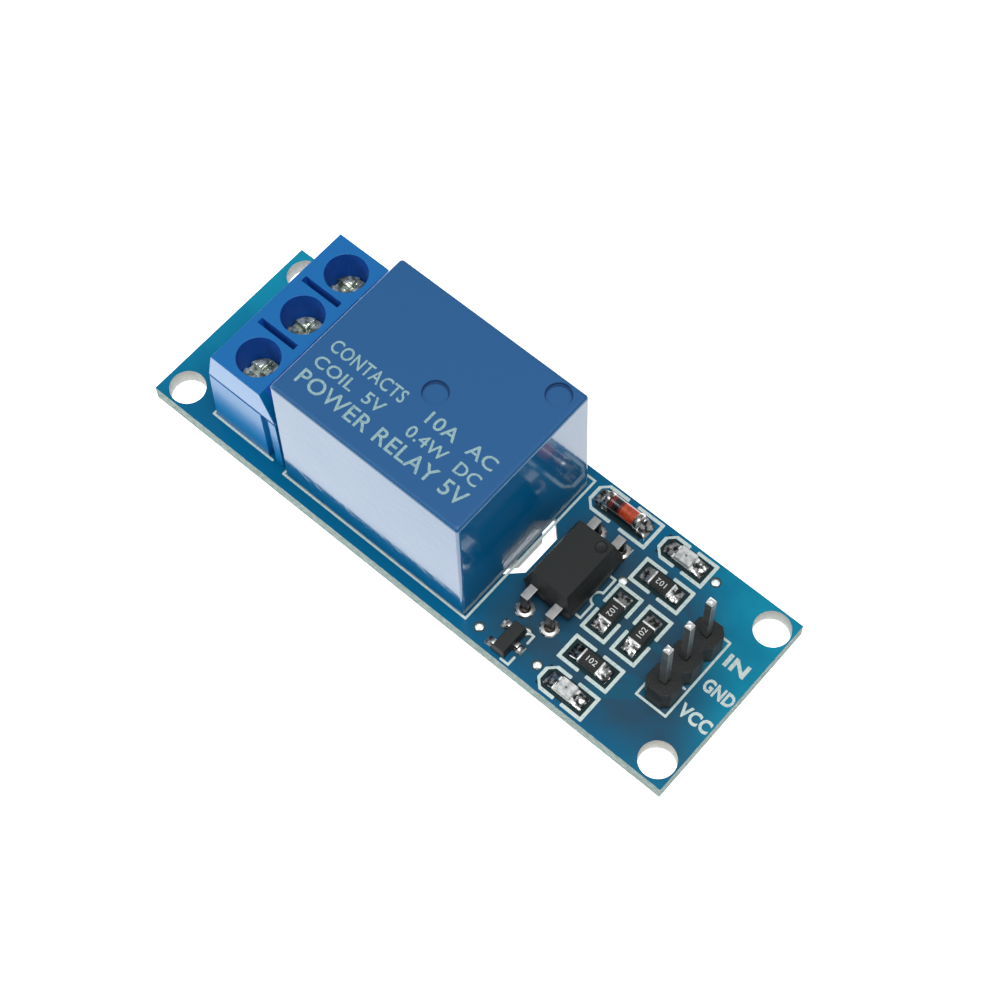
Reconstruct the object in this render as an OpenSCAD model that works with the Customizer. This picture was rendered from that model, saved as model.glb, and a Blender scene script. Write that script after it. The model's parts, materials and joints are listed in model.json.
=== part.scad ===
// Single-channel relay module: a narrow circuit board that carries a sealed
// power relay, a three-way screw terminal, an optocoupler input stage with its
// small parts, and a three-pin control header.
// Millimetres. The origin is the centre of the four fixing holes on the
// underside of the board. +X runs from the terminal to the header, +Z is up.

/* [Board] */
// Thickness of the circuit board
board_t = 1.6; // [1.2:0.1:2]
// Board edge to the foot of the terminal block
terminal_margin = 5.65; // [5:0.05:8]
// Header pins to the other end of the board
header_margin = 4.9; // [4.6:0.05:8]
// Printed outlines to the long edges of the board
side_margin = 0.27; // [0.2:0.01:2]
// Diameter of the four fixing holes
hole_d = 3.1; // [2.2:0.1:3.2]
// Fixing holes to the terminal end of the board
hole_inset_terminal = 2.05; // [1.9:0.05:2.6]
// Fixing holes to the header end of the board
hole_inset_header = 1.7; // [1.7:0.05:2.6]
// Fixing holes to the long edges of the board
hole_inset_y = 1.78; // [1.75:0.01:2.6]
// Length of the pin tails below the board
tail_l = 1.6; // [1.2:0.1:2.4]
// Diameter of the open vias
via_d = 0.7; // [0.4:0.05:0.9]
// Width of the milled isolation slot
slot_w = 1.15; // [0.8:0.05:1.4]

/* [Print and solder] */
// Thickness of the printed marks
silk_t = 0.04; // [0.03:0.01:0.08]
// Width of the printed lines
silk_w = 0.3; // [0.15:0.05:0.35]
// Gap from a pad to its printed bracket
silk_gap = 0.33; // [0.2:0.01:0.4]
// Thickness of the tinned pads
pad_t = 0.05; // [0.04:0.01:0.1]
// Copper round each drilled hole
pad_rim = 0.41; // [0.3:0.01:0.5]
// Height of the solder cones under the board
cone_h = 1; // [0.6:0.1:1.2]
// Clearance between a pin and its drilled hole
drill_gap = 0.12; // [0.08:0.01:0.2]

/* [Terminal block] */
// Spacing of the wire positions
way_pitch = 5.08; // [5:0.01:5.5]
// Height of the terminal block
terminal_h = 9.9; // [9.6:0.1:12]
// Depth of the terminal block at its foot
terminal_d = 7.6; // [7.4:0.1:9]
// Depth of the top face
terminal_top_d = 5.25; // [5:0.05:6.5]
// How far the wire face leans in at the top
terminal_lean = 0.8; // [0.2:0.05:1]
// How far the end faces lean in above the groove
end_lean = 0.27; // [0.1:0.01:0.4]
// Wall beyond the last wire position
terminal_end_wall = 0.18; // [0.1:0.01:0.6]
// Screw axis to the foot of the wire face
screw_axis_in = 3.7; // [3.6:0.05:4]
// Height of the groove on the end faces
band_z = 7.2; // [6.8:0.1:7.6]
// Sideways offset of the terminal block
terminal_shift_y = 0.42; // [0:0.01:0.5]
// Width of the wire entries
entry_w = 3.8; // [3.4:0.1:4]
// Gap from the terminal block to the relay
terminal_gap = 0.6; // [0.5:0.05:2]

/* [Terminal clamps] */
// Thread diameter of the clamp screws
screw_d = 3; // [2.6:0.05:3.04]
// Radial clearance of the screw in its clamp
screw_gap = 0.05; // [0.03:0.01:0.08]
// Diameter of the screw heads
head_d = 3.4; // [3.2:0.05:3.46]
// Thickness of the screw heads
head_h = 1.7; // [1.4:0.1:1.8]
// Clearance round the screw heads in their wells
head_gap = 0.1; // [0.06:0.01:0.15]
// Width of the folded clamp body
clamp_w = 4.2; // [4.15:0.05:4.4]
// Depth of the folded clamp body
clamp_d = 4; // [3.8:0.1:4.2]
// Sheet thickness of the clamp body
clamp_wall = 0.5; // [0.45:0.01:0.54]
// Thickness of the threaded top of the clamp
clamp_top = 1.1; // [1:0.05:1.15]
// Clearance around the clamp in the housing
clamp_gap = 0.05; // [0.03:0.01:0.06]
// Thickness of the wire guard leaf
guard_t = 0.25; // [0.2:0.01:0.3]
// Height for a wire under the guard at rest
wire_gap = 0.7; // [0.6:0.05:0.9]
// Rise of the guard when the screw is backed out
open_travel = 1.5; // [1:0.1:1.5]

/* [Relay] */
// Length of the relay case at its foot
relay_l = 19.3; // [19:0.1:22]
// Width of the relay case at its foot
relay_w = 15.3; // [15.1:0.1:17]
// Height of the relay above the board
relay_h = 14.8; // [14.7:0.1:17]
// Wall of the relay case
case_wall = 0.85; // [0.6:0.05:0.9]
// Radius of the upright corners of the case
case_corner_r = 0.3; // [0.2:0.1:1]
// Radius of the top edges of the case
case_edge_r = 0.35; // [0.2:0.05:0.5]
// How far each side leans in at the top
case_taper = 0.13; // [0:0.01:0.2]
// Sideways offset of the relay
relay_shift_y = -0.15; // [-0.4:0.01:0]
// Clearance of the base plate in the case
base_gap = 0.05; // [0.02:0.01:0.1]
// Thickness of the base plate
base_t = 1.7; // [1.5:0.1:1.9]
// Gap of the case and base above the board
relay_standoff = 0.25; // [0.1:0.05:0.4]
// Diameter of the two round marks on the case
mark_d = 2.1; // [1.8:0.1:2.4]
// Depth of the two round marks
mark_depth = 0.15; // [0.1:0.05:0.2]

/* [Relay works] */
// Common pin to the inside of the case's end
com_in = 1.5; // [1.5:0.05:1.8]
// Coil pins back from the common pin
coil_setback = 2; // [1.8:0.1:2.2]
// Contact pins to the inside of the case's other end
contact_in = 1.9; // [1.8:0.05:2.1]
// Side pins to the inside of the case
side_pin_in = 0.8; // [0.75:0.05:1]
// Side of the square coil pins
coil_pin_w = 0.5; // [0.4:0.05:0.6]
// Width of the flat pins
blade_w = 1; // [0.8:0.05:1.2]
// Thickness of the flat pins
blade_t = 0.5; // [0.4:0.05:0.6]
// Thickness of the iron yoke
yoke_t = 1.4; // [1.2:0.1:1.5]
// Width of the yoke and armature
yoke_w = 9; // [8:0.5:10]
// Diameter of the coil core
core_d = 4; // [3.6:0.1:4.4]
// Diameter of the pole face
pole_d = 6.4; // [6:0.1:6.8]
// Thickness of the pole face
pole_t = 0.8; // [0.6:0.1:1]
// Wall of the bobbin tube
bobbin_wall = 0.5; // [0.4:0.05:0.6]
// Thickness of the bobbin flanges
flange_t = 0.8; // [0.7:0.1:1]
// Depth of the winding below the rim of the flanges
winding_in = 0.4; // [0.2:0.05:1]
// Thickness of the armature
armature_t = 1.2; // [1:0.05:1.3]
// Thickness of the contact blade
leaf_t = 0.2; // [0.15:0.01:0.25]
// Width of the contact blade over the armature
leaf_w = 5; // [4:0.5:7]
// Width of the contact blade at its contact
neck_w = 3; // [2.4:0.1:3.6]
// Diameter of the contact rivets
contact_d = 2; // [1.6:0.1:2.4]
// Gap left at the pole and the contacts when the coil is live
stop_gap = 0.05; // [0.03:0.01:0.08]
// Turn of the armature when the coil is live
armature_turn = 2.4; // [1:0.1:2.5]

/* [Optocoupler] */
// Length of the body between its lead rows
opto_l = 6.6; // [6.2:0.1:7]
// Width of the body
opto_w = 4.7; // [4.4:0.1:5]
// Height of the body
opto_h = 3.5; // [3.2:0.1:3.8]
// Gap of the body above the board
opto_standoff = 0.45; // [0.3:0.05:0.6]
// Spacing of the leads along a row
opto_pitch = 2.54; // [2.5:0.01:2.6]
// Width of the leads below their shoulders
opto_lead_w = 0.5; // [0.4:0.05:0.6]
// Width of the lead shoulders
shoulder_w = 0.8; // [0.6:0.05:1.2]
// Spacing of the two rows of leads
opto_row = 8.8; // [8.5:0.1:9.2]
// Thickness of the leads
lead_t = 0.28; // [0.2:0.01:0.35]
// Gap from the relay case to the optocoupler
opto_gap = 2.15; // [2:0.05:4]
// Sideways offset of the optocoupler
opto_shift_y = 0.22; // [0:0.01:0.4]

/* [Small parts] */
// Length of the chip resistors and lamps
chip_l = 2; // [1.8:0.05:2.2]
// Width of the chip resistors and lamps
chip_w = 1.25; // [1.1:0.05:1.35]
// Height of the chip resistors
chip_h = 0.5; // [0.4:0.05:0.6]
// Length of each metal chip end
chip_end = 0.18; // [0.15:0.01:0.3]
// Solder pad past each chip end
pad_past = 0.87; // [0.6:0.01:1]
// Height of the clear lamp lens above its carrier
lens_h = 0.45; // [0.3:0.05:0.6]
// Thickness of the lamp carrier
carrier_t = 0.32; // [0.25:0.01:0.4]
// Clear space between printed brackets
bracket_space = 0.5; // [0.4:0.05:0.8]
// Length of the glass diode over its caps
diode_l = 3.5; // [3.3:0.1:3.7]
// Diameter of the glass diode
diode_d = 1.45; // [1.3:0.05:1.6]
// Length of each diode cap
diode_cap = 0.5; // [0.3:0.05:0.6]
// Length of the transistor body
transistor_l = 2.9; // [2.7:0.1:3]
// Width of the transistor body
transistor_w = 1.3; // [1.2:0.05:1.4]
// Height of the transistor body
transistor_h = 1; // [0.9:0.05:1.1]

/* [Header] */
// Spacing of the header pins
pin_pitch = 2.54; // [2.5:0.01:2.6]
// Side of the square header pins
pin_w = 0.64; // [0.5:0.01:0.7]
// Depth of the plastic strip
strip_d = 2.5; // [2.3:0.05:2.6]
// Height of the plastic strip
strip_h = 2.54; // [2.3:0.02:2.8]
// Length of the pins above the strip
pin_reach = 6; // [5:0.1:8]

/* [Hidden] */
$fn = 48;

// How far every cutter runs past what it cuts.
cut = 0.5;
// Width of the finer printed lines, and their gap to the part inside them.
line_w = 0.2;
line_gap = 0.1;
// Least gap from a print to what stands on the board beside it.
print_gap = 0.01;
// Play left at each end of a travel.
play = 0.2;

// Printed brackets round a chip, and the rows and columns that they stand in.
bracket_h = chip_w + 2 * (silk_gap + silk_w);
bracket_l = chip_l + 2 * (pad_past + silk_gap + silk_w);
row_pitch = bracket_h + bracket_space;
row_gap = 0.6;
resistor_y = bracket_l / 2 + row_gap + bracket_h / 2;
lamp_y = resistor_y + row_pitch;
column_gap = 0.55;
header_gap = 1.4;

// The terminal block's length, and how far its rib stands out.
ways = 3;
terminal_w = ways * way_pitch + 2 * terminal_end_wall;
rib = 0.4;

// The relay's printed outline: how far it stands past the case's long sides,
// and its middle across the board. The terminal's outline stops short at +X.
relay_silk = 0.41;
relay_silk_y = relay_shift_y + 0.28;
terminal_silk_in = 1.05;

// The board's width covers the widest thing on it. Its length is the chain of
// parts from the terminal end.
half_w = side_margin + max(lamp_y + bracket_h / 2, relay_w / 2 + relay_silk + abs(relay_silk_y),
    terminal_w / 2 + terminal_shift_y + rib);
s_relay = terminal_margin + terminal_d + terminal_gap;
s_opto = s_relay + relay_l + opto_gap + opto_w / 2;
s_column = s_opto + opto_w / 2 + column_gap + bracket_h / 2;
s_header = s_column + row_pitch + bracket_h / 2 + header_gap + strip_d / 2 + line_gap + line_w;
board_l = s_header + header_margin;
hole_pitch_x = board_l - hole_inset_terminal - hole_inset_header;
hole_pitch_y = 2 * (half_w - hole_inset_y);
x_edge = -hole_pitch_x / 2 - hole_inset_terminal;

// Places on the board.
terminal_x = x_edge + terminal_margin;
screw_x = terminal_x + screw_axis_in;
relay_x = x_edge + s_relay + relay_l / 2;
opto_x = x_edge + s_opto;
column_1_x = x_edge + s_column;
column_2_x = column_1_x + row_pitch;
chip_x = (column_1_x + column_2_x) / 2;
header_x = x_edge + s_header;
diode_at = [opto_x - 0.6, lamp_y - 0.1];
transistor_at = [opto_x - 0.4, 0.3 - lamp_y];
lamps = [[chip_x, lamp_y], [chip_x, -lamp_y]];
// Resistors: place and quarter turns.
resistors = [[chip_x, resistor_y, 0], [column_1_x, 0, 1], [column_2_x, 0, 1], [chip_x, -resistor_y, 0]];
// Open vias, from the optocoupler and the rows.
vias = [[opto_x - 3, -lamp_y - 0.3], [opto_x + 0.1, -resistor_y - 1.2], [chip_x - 3.1, -lamp_y + 0.2],
    [column_1_x - 1.1, resistor_y - 1.65], [chip_x + 3.05, lamp_y]];

// Heights in the terminal block, above the board.
clamp_z = 0.4;
window_z = clamp_z + clamp_wall;
window_h = wire_gap + guard_t + open_travel + play;
clamp_h = clamp_wall + window_h + clamp_top;
guard_z = window_z + wire_gap + guard_t;
guard_lip = 0.5;
entry_h = guard_z + guard_lip + open_travel + play - window_z;
cavity_top = clamp_z + clamp_h + clamp_gap;
head_z = cavity_top + wire_gap;
well_d = head_d + 2 * head_gap;

// Heights and places in the relay. Heights are above the board, and places
// along it are from the middle of the relay.
works_z = relay_standoff + base_t;
blade_room = 1.7;
armature_z = relay_h - case_wall - armature_t - leaf_t - blade_room;
tongue_t = 0.4;
tongue_w = contact_d + 0.4;
com_x = relay_l / 2 - case_wall - com_in;
hinge_x = com_x - yoke_t / 2;
contact_x = contact_in + case_wall - relay_l / 2;
side_pin_y = relay_w / 2 - case_wall - side_pin_in;
contact_room = 1.3;
flange_l = hinge_x - play - (contact_x + tongue_w / 2 + contact_room);
coil_x = hinge_x - play - flange_l / 2;
pole_z = armature_z - (hinge_x - coil_x + pole_d / 2) * sin(armature_turn) - stop_gap;
bobbin_z = works_z + yoke_t;
bobbin_h = pole_z - pole_t - bobbin_z;
flange_w = 2 * side_pin_y + 1;
armature_x = coil_x - pole_d / 2 - 0.8;
blade_z = armature_z + armature_t;
rivet_h = 0.35;
rivet_d = contact_d / 2;
open_z = blade_z - rivet_h - (hinge_x - contact_x + contact_d / 2) * sin(armature_turn) - stop_gap;
closed_z = blade_z + leaf_t + rivet_h + stop_gap / 2;

// Pins through the board: place, then size along X and along Y.
com_pin = [relay_x + com_x, relay_shift_y, blade_t, blade_w];
coil_places = [for (s = [-1, 1])
    [com_pin[0] - coil_setback, relay_shift_y + s * side_pin_y, coil_pin_w, coil_pin_w]];
contact_places = [for (s = [-1, 1]) [relay_x + contact_x, relay_shift_y + s * side_pin_y, blade_w, blade_t]];
clamp_places = [for (i = [0 : ways - 1])
    [screw_x, terminal_shift_y + (i - (ways - 1) / 2) * way_pitch, blade_t, blade_w]];
header_places = [for (i = [-1 : 1]) [header_x, i * pin_pitch, pin_w, pin_w]];
opto_places = [for (s = [-1, 1], t = [-1, 1])
    [opto_x + t * opto_pitch / 2, opto_shift_y + s * opto_row / 2, opto_lead_w, lead_t]];
through_pins = concat([com_pin], coil_places, contact_places, clamp_places, header_places, opto_places);
function drill_r(p) = norm([p[2], p[3]]) / 2 + drill_gap;
function ring_r(p) = drill_r(p) + pad_rim;

// The isolation slot: a C round the common pin, with cut corners.
slot_reach = 3.55;
slot_l = 5.6;
slot_corner = 1.6;

// The optocoupler's parting line, and how much it draws in above and below.
opto_mid = opto_standoff + opto_h * 0.52;
opto_draft_x = 0.62;
opto_draft_y = 0.4;
opto_foot = 0.2;

// Cut corners of each segment of the header strip.
strip_corner = 0.55;

// Transistor leads: width, reach past the body, and where the pair stands.
gull_w = 0.42;
gull_l = 0.55;
gull_y = 0.95;
// Pads: length, width and reach past the tip under a transistor lead, and
// length under each end of the diode.
gull_pad_l = 0.9;
gull_pad_w = 0.8;
gull_pad_past = 0.25;
diode_pad = 1.4;
// How much narrower the square pad is than a ring is wide.
pad_square_in = 0.15;

chip_z = board_t + pad_t;

module block(x0, x1, y0, y1, z0, z1) {
    translate([x0, y0, z0]) cube([x1 - x0, y1 - y0, z1 - z0]);
}

// A block centred on the Z axis.
module slab(l, w, z0, z1) {
    translate([-l / 2, -w / 2, z0]) cube([l, w, z1 - z0]);
}

module at_board(place) {
    translate([place[0], place[1], board_t]) children();
}

module on_pads(place, turns = 0) {
    translate([place[0], place[1], chip_z]) rotate(90 * turns) children();
}

// An outline in X and Z, drawn out along Y, and one in Y and Z, along X.
module along_y(w, points) {
    translate([0, w / 2, 0]) rotate([90, 0, 0]) linear_extrude(w) polygon(points);
}

module along_x(l, points) {
    translate([-l / 2, 0, 0]) rotate([90, 0, 90]) linear_extrude(l) polygon(points);
}

// A pin's tail, from z down past the board.
module through_pin(p, z) {
    translate([p[0], p[1], 0]) slab(p[2], p[3], -tail_l, z);
}

// ---- Board, print, pads and solder ----

function slot_edge(d) = let (h = slot_reach - d, l = slot_l - d, c = slot_corner - (2 - sqrt(2)) * d)
    [[0, h], [l - c, h], [l, h - c], [l, c - h], [l - c, -h], [0, -h]];

module circuit_board() {
    depth = board_t + 2 * cut;
    color([0.05, 0.33, 0.55]) difference() {
        block(x_edge, x_edge + board_l, -half_w, half_w, 0, board_t);
        for (sx = [-1, 1], sy = [-1, 1])
            translate([sx * hole_pitch_x / 2, sy * hole_pitch_y / 2, -cut]) cylinder(d = hole_d, h = depth);
        for (p = vias) translate([p[0], p[1], -cut]) cylinder(d = via_d, h = depth, $fn = 24);
        for (p = through_pins) translate([p[0], p[1], -cut]) cylinder(r = drill_r(p), h = depth, $fn = 24);
        translate([com_pin[0] + slot_reach - slot_l, opto_shift_y, -cut]) linear_extrude(depth) difference() {
            polygon(slot_edge(0));
            polygon(slot_edge(slot_w));
        }
    }
}

// The +X end of a frame l long and h high, its corners cut by c.
module bracket(l, h, c = 0) {
    arm = 0.43 * l;
    translate([l / 2 - silk_w, c - h / 2]) square([silk_w, h - 2 * c]);
    for (s = [0, 1]) mirror([0, s]) {
        translate([l / 2 - arm, h / 2 - silk_w]) square([arm - c, silk_w]);
        if (c > 0) translate([l / 2, h / 2])
            polygon([[-c, 0], [0, -c], [-silk_w, -c], [-c, -silk_w]]);
    }
}

// Brackets round a chip. A polarised one has cut corners on its -X side.
module bracket_pair(l, h, c = 0) {
    bracket(l, h);
    mirror([1, 0]) bracket(l, h, c);
}

// A printed line round a body that runs from x0 to x1 and y0 to y1.
module outline(x0, x1, y0, y1) {
    outer = line_gap + line_w;
    difference() {
        translate([x0 - outer, y0 - outer]) square([x1 - x0 + 2 * outer, y1 - y0 + 2 * outer]);
        translate([x0 - line_gap, y0 - line_gap]) square([x1 - x0 + 2 * line_gap, y1 - y0 + 2 * line_gap]);
    }
}

// The optocoupler's mark: a line with a half-round notch and two short ends.
module optocoupler_mark() {
    half = opto_l / 2 - 1.05;
    notch_r = 0.75;
    end_l = 0.65;
    for (s = [0, 1]) mirror([0, s]) {
        translate([-line_w, notch_r - line_w]) square([line_w, half - notch_r + line_w]);
        translate([-end_l, half - line_w]) square([end_l, line_w]);
    }
    intersection() {
        difference() {
            circle(notch_r);
            circle(notch_r - line_w);
        }
        translate([-2 * notch_r, -notch_r]) square(2 * notch_r);
    }
}

// Two corner marks on the transistor's +X side.
module transistor_mark() {
    long = 0.95;
    x = transistor_w / 2 + long - 0.3;
    y = transistor_l / 2 + line_w;
    for (s = [0, 1]) mirror([0, s]) {
        translate([x - long, y - line_w]) square([long, line_w]);
        translate([x - line_w, y - long]) square([line_w, long]);
    }
}

// Ink lines whose ends and outer corners have run round.
module run_ink() {
    run = 0.4 * min(line_w, silk_w);
    offset(r = run, $fn = 16) offset(delta = -run) children();
}

module silkscreen() {
    corner = 0.75;
    diode_mark_l = diode_l + 2 * (pad_past + 0.55);
    diode_mark_w = diode_d + 2 * (silk_gap + silk_w) + line_gap;
    relay_y = relay_w / 2 + relay_silk - line_w - line_gap;
    terminal_y = terminal_w / 2 + print_gap - line_gap;
    strip_l = 3 * pin_pitch;
    color([0.86, 0.91, 0.88]) translate([0, 0, board_t]) linear_extrude(silk_t) run_ink() {
        for (r = resistors) translate([r[0], r[1]]) rotate(90 * r[2]) bracket_pair(bracket_l, bracket_h);
        for (p = lamps) translate(p) bracket_pair(bracket_l, bracket_h, corner);
        translate(diode_at) bracket_pair(diode_mark_l, diode_mark_w, corner);
        translate([opto_x + opto_w / 2 + line_gap + line_w, opto_shift_y]) optocoupler_mark();
        translate(transistor_at) transistor_mark();
        translate([relay_x, relay_silk_y]) outline(-relay_l / 2, relay_l / 2, -relay_y, relay_y);
        translate([terminal_x, terminal_shift_y]) difference() {
            outline(0, terminal_d, -terminal_y, terminal_y);
            translate([terminal_d - terminal_silk_in, -terminal_w]) square(2 * terminal_w);
        }
        translate([header_x, 0]) {
            outline(-strip_d / 2, strip_d / 2, -strip_l / 2, strip_l / 2);
            for (k = [0, 1]) mirror([k, 0])
                translate([strip_d / 2 - strip_corner + line_w, -(pin_pitch + line_w) / 2])
                    square([strip_corner - line_w, line_w]);
        }
    }
}

module pad_ring(p, squared = false) {
    translate([p[0], p[1]]) difference() {
        if (squared) square(2 * ring_r(p) - pad_square_in, center = true);
        else circle(ring_r(p), $fn = 32);
        circle(drill_r(p), $fn = 24);
    }
}

// Two pads, inner edges gap apart, each l long.
module pad_pair(gap, l, w) {
    for (s = [0, 1]) mirror([s, 0]) translate([gap / 2, -w / 2]) square([l, w]);
}

module solder_pads() {
    inner = chip_l - 2 * chip_end;
    color([0.8, 0.8, 0.78]) {
        translate([0, 0, board_t]) linear_extrude(pad_t) {
            for (i = [0 : 3]) pad_ring(opto_places[i], i == 3);
            for (r = resistors) translate([r[0], r[1]]) rotate(90 * r[2])
                pad_pair(inner, pad_past + chip_end, chip_w);
            for (p = lamps) translate(p) pad_pair(inner, pad_past + chip_end, chip_w);
            translate(diode_at) pad_pair(diode_l - 2 * diode_cap, diode_pad, diode_d);
            translate(transistor_at) gull_places() translate([-gull_l - gull_pad_past, -gull_pad_w / 2])
                square([gull_pad_l, gull_pad_w]);
        }
        translate([0, 0, -pad_t]) linear_extrude(pad_t) for (p = through_pins) pad_ring(p);
    }
}

// Solder wicked up the two ends of a part that is l long and h high.
module end_fillets(l, w, h, reach) {
    side = 0.05;
    for (s = [0, 1]) mirror([s, 0, 0]) translate([l / 2, 0, 0])
        along_y(w - 2 * side, [[0, 0], [reach - side, 0], [0.4 * reach, 0.3 * h], [0, 0.8 * h]]);
}

module solder_joints() {
    color([0.75, 0.75, 0.76]) {
        difference() {
            for (p = through_pins) translate([p[0], p[1], -pad_t - cone_h])
                cylinder(r1 = drill_r(p), r2 = ring_r(p) - 0.1, h = cone_h, $fn = 32);
            for (p = through_pins) through_pin(p, 0);
        }
        for (r = resistors) on_pads(r, r[2]) end_fillets(chip_l, chip_w, chip_h, pad_past);
        for (p = lamps) on_pads(p) end_fillets(chip_l, chip_w, carrier_t, pad_past);
        on_pads(diode_at) end_fillets(diode_l, diode_d, diode_d / 2, diode_pad - diode_cap);
    }
}

// ---- Terminal block ----

// The moulding's outside: its section along the row, cut by its end faces.
module terminal_form() {
    end = terminal_w / 2;
    intersection() {
        along_y(terminal_w, [[0, 0], [terminal_lean / 2, band_z], [terminal_lean, terminal_h],
            [terminal_lean + terminal_top_d, terminal_h], [terminal_d, band_z], [terminal_d, 0]]);
        along_x(3 * terminal_d, [[-end, 0], [-end, band_z], [end_lean - end, terminal_h],
            [end - end_lean, terminal_h], [end, band_z], [end, 0]]);
    }
}

module terminal_housing() {
    cavity_d = clamp_d + 2 * clamp_gap;
    cavity_w = clamp_w + 2 * clamp_gap;
    end = terminal_w / 2;
    rib_x = terminal_d - 1.2;
    rib_w = 0.6;
    groove = 0.24;
    notch_l = 3.9;
    notch_w = 0.55;
    notch_x = screw_axis_in - 0.35;
    color([0.1, 0.42, 0.8]) at_board([terminal_x, terminal_shift_y]) {
        difference() {
            terminal_form();
            for (p = clamp_places) translate([screw_axis_in, p[1] - terminal_shift_y, 0]) {
                translate([0, 0, cavity_top - cut]) cylinder(d = well_d, h = terminal_h);
                slab(cavity_d, cavity_w, -cut, cavity_top);
                block(-screw_axis_in - cut, 0, -entry_w / 2, entry_w / 2, window_z, window_z + entry_h);
            }
            for (i = [1 : ways - 1]) translate([notch_x, (i - ways / 2) * way_pitch, 0])
                slab(notch_l, notch_w, terminal_h - 2, terminal_h + cut);
            for (s = [-1, 1]) translate([terminal_d / 2, s * end, band_z])
                slab(2 * terminal_d, groove, -groove, 0);
            translate([rib_x, -end, 0]) slab(rib_w + 2 * line_gap, 2 * (rib + line_gap), -cut, band_z);
        }
        translate([rib_x, end, 0]) slab(rib_w, 2 * rib, groove, band_z - 2 * groove);
    }
}

// One strip folded into a square loop, with the thread in its top and the
// solder pin under it.
module terminal_clamp(p) {
    color([0.78, 0.78, 0.76]) {
        at_board(p) difference() {
            slab(clamp_d, clamp_w, clamp_z, clamp_z + clamp_h);
            slab(2 * clamp_d, clamp_w - 2 * clamp_wall, window_z, window_z + window_h);
            translate([0, 0, window_z]) cylinder(r = screw_d / 2 + screw_gap, h = clamp_h);
        }
        through_pin(p, board_t + clamp_z);
    }
}

// A leaf that lies under the screw's tip, with a lip outside the clamp.
module wire_guard(p) {
    w = clamp_w - 2 * clamp_wall - play;
    lip_x = -clamp_d / 2 - line_gap;
    color([0.85, 0.8, 0.6]) at_board(p) {
        block(lip_x, clamp_d / 2, -w / 2, w / 2, guard_z - guard_t, guard_z);
        block(lip_x - guard_t, lip_x, -w / 2, w / 2, guard_z - guard_t, guard_z + guard_lip);
    }
}

module clamp_screw(p) {
    edge = 0.25;
    slot = 0.6;
    color([0.8, 0.8, 0.78]) at_board(p) {
        translate([0, 0, guard_z]) cylinder(d = screw_d, h = head_z - guard_z);
        translate([0, 0, head_z]) difference() {
            union() {
                cylinder(d = head_d, h = head_h - edge);
                translate([0, 0, head_h - edge]) cylinder(d1 = head_d, d2 = head_d - 2 * edge, h = edge);
            }
            slab(2 * head_d, slot, head_h - 0.8, head_h + cut);
            slab(slot, 2 * head_d, head_h - 0.5, head_h + cut);
        }
    }
}

// ---- Relay ----

// A thin layer of the case, drawn in by d on every side.
module case_layer(d, z) {
    x = relay_l / 2 - case_corner_r - d;
    y = relay_w / 2 - case_corner_r - d;
    layer = 0.01;
    translate([0, 0, z - layer]) linear_extrude(layer)
        for (sx = [-1, 1], sy = [-1, 1]) translate([sx * x, sy * y]) circle(case_corner_r, $fn = 24);
}

module relay_case() {
    marks = [[0.5, 0.2], [relay_l / 2 - 1.95, relay_w / 2 - 1.6]];
    color([0.12, 0.33, 0.68]) at_board([relay_x, relay_shift_y]) difference() {
        hull() {
            case_layer(0, relay_standoff);
            for (a = [0 : 22.5 : 90])
                case_layer(case_taper + case_edge_r * (1 - cos(a)), relay_h - case_edge_r * (1 - sin(a)));
        }
        slab(relay_l - 2 * case_wall, relay_w - 2 * case_wall, 0, relay_h - case_wall);
        for (p = marks) translate([p[0], p[1], relay_h - mark_depth]) cylinder(d = mark_d, h = cut);
    }
}

module relay_base() {
    inset = 2 * (case_wall + base_gap);
    color([0.1, 0.28, 0.6]) difference() {
        at_board([relay_x, relay_shift_y]) slab(relay_l - inset, relay_w - inset, relay_standoff, works_z);
        for (p = concat([com_pin], coil_places, contact_places)) through_pin(p, board_t + works_z + cut);
    }
}

module coil_bobbin() {
    color([0.85, 0.85, 0.8]) difference() {
        at_board([relay_x + coil_x, relay_shift_y]) difference() {
            union() {
                slab(flange_l, flange_w, bobbin_z, bobbin_z + flange_t);
                slab(flange_l, flange_w, bobbin_z + bobbin_h - flange_t, bobbin_z + bobbin_h);
                translate([0, 0, bobbin_z]) cylinder(d = core_d + 2 * bobbin_wall, h = bobbin_h);
            }
            translate([0, 0, works_z]) cylinder(d = core_d, h = relay_h);
        }
        for (p = coil_places) through_pin(p, board_t + bobbin_z + 2 * flange_t);
    }
}

module coil_winding() {
    color([0.75, 0.35, 0.12]) at_board([relay_x + coil_x, relay_shift_y])
        translate([0, 0, bobbin_z + flange_t]) difference() {
            cylinder(d = flange_l - 2 * winding_in, h = bobbin_h - 2 * flange_t);
            translate([0, 0, -cut]) cylinder(d = core_d + 2 * bobbin_wall, h = bobbin_h);
        }
}

module coil_core() {
    color([0.6, 0.6, 0.62]) at_board([relay_x + coil_x, relay_shift_y]) {
        translate([0, 0, works_z]) cylinder(d = core_d, h = pole_z - works_z);
        translate([0, 0, pole_z - pole_t]) cylinder(d = pole_d, h = pole_t);
    }
}

module coil_pins() {
    color([0.75, 0.75, 0.73]) for (p = coil_places) through_pin(p, board_t + bobbin_z + 2 * flange_t);
}

// A strip folded to an L. The coil stands on one leg, and the armature rocks
// on the end of the other.
module yoke() {
    color([0.62, 0.62, 0.64]) {
        at_board([relay_x, relay_shift_y]) difference() {
            union() {
                block(coil_x - core_d, hinge_x + yoke_t, -yoke_w / 2, yoke_w / 2, works_z, bobbin_z);
                block(hinge_x, hinge_x + yoke_t, -yoke_w / 2, yoke_w / 2, works_z, armature_z);
            }
            translate([coil_x, 0, 0]) cylinder(d = core_d, h = bobbin_z + cut);
        }
        through_pin(com_pin, board_t + works_z);
    }
}

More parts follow.
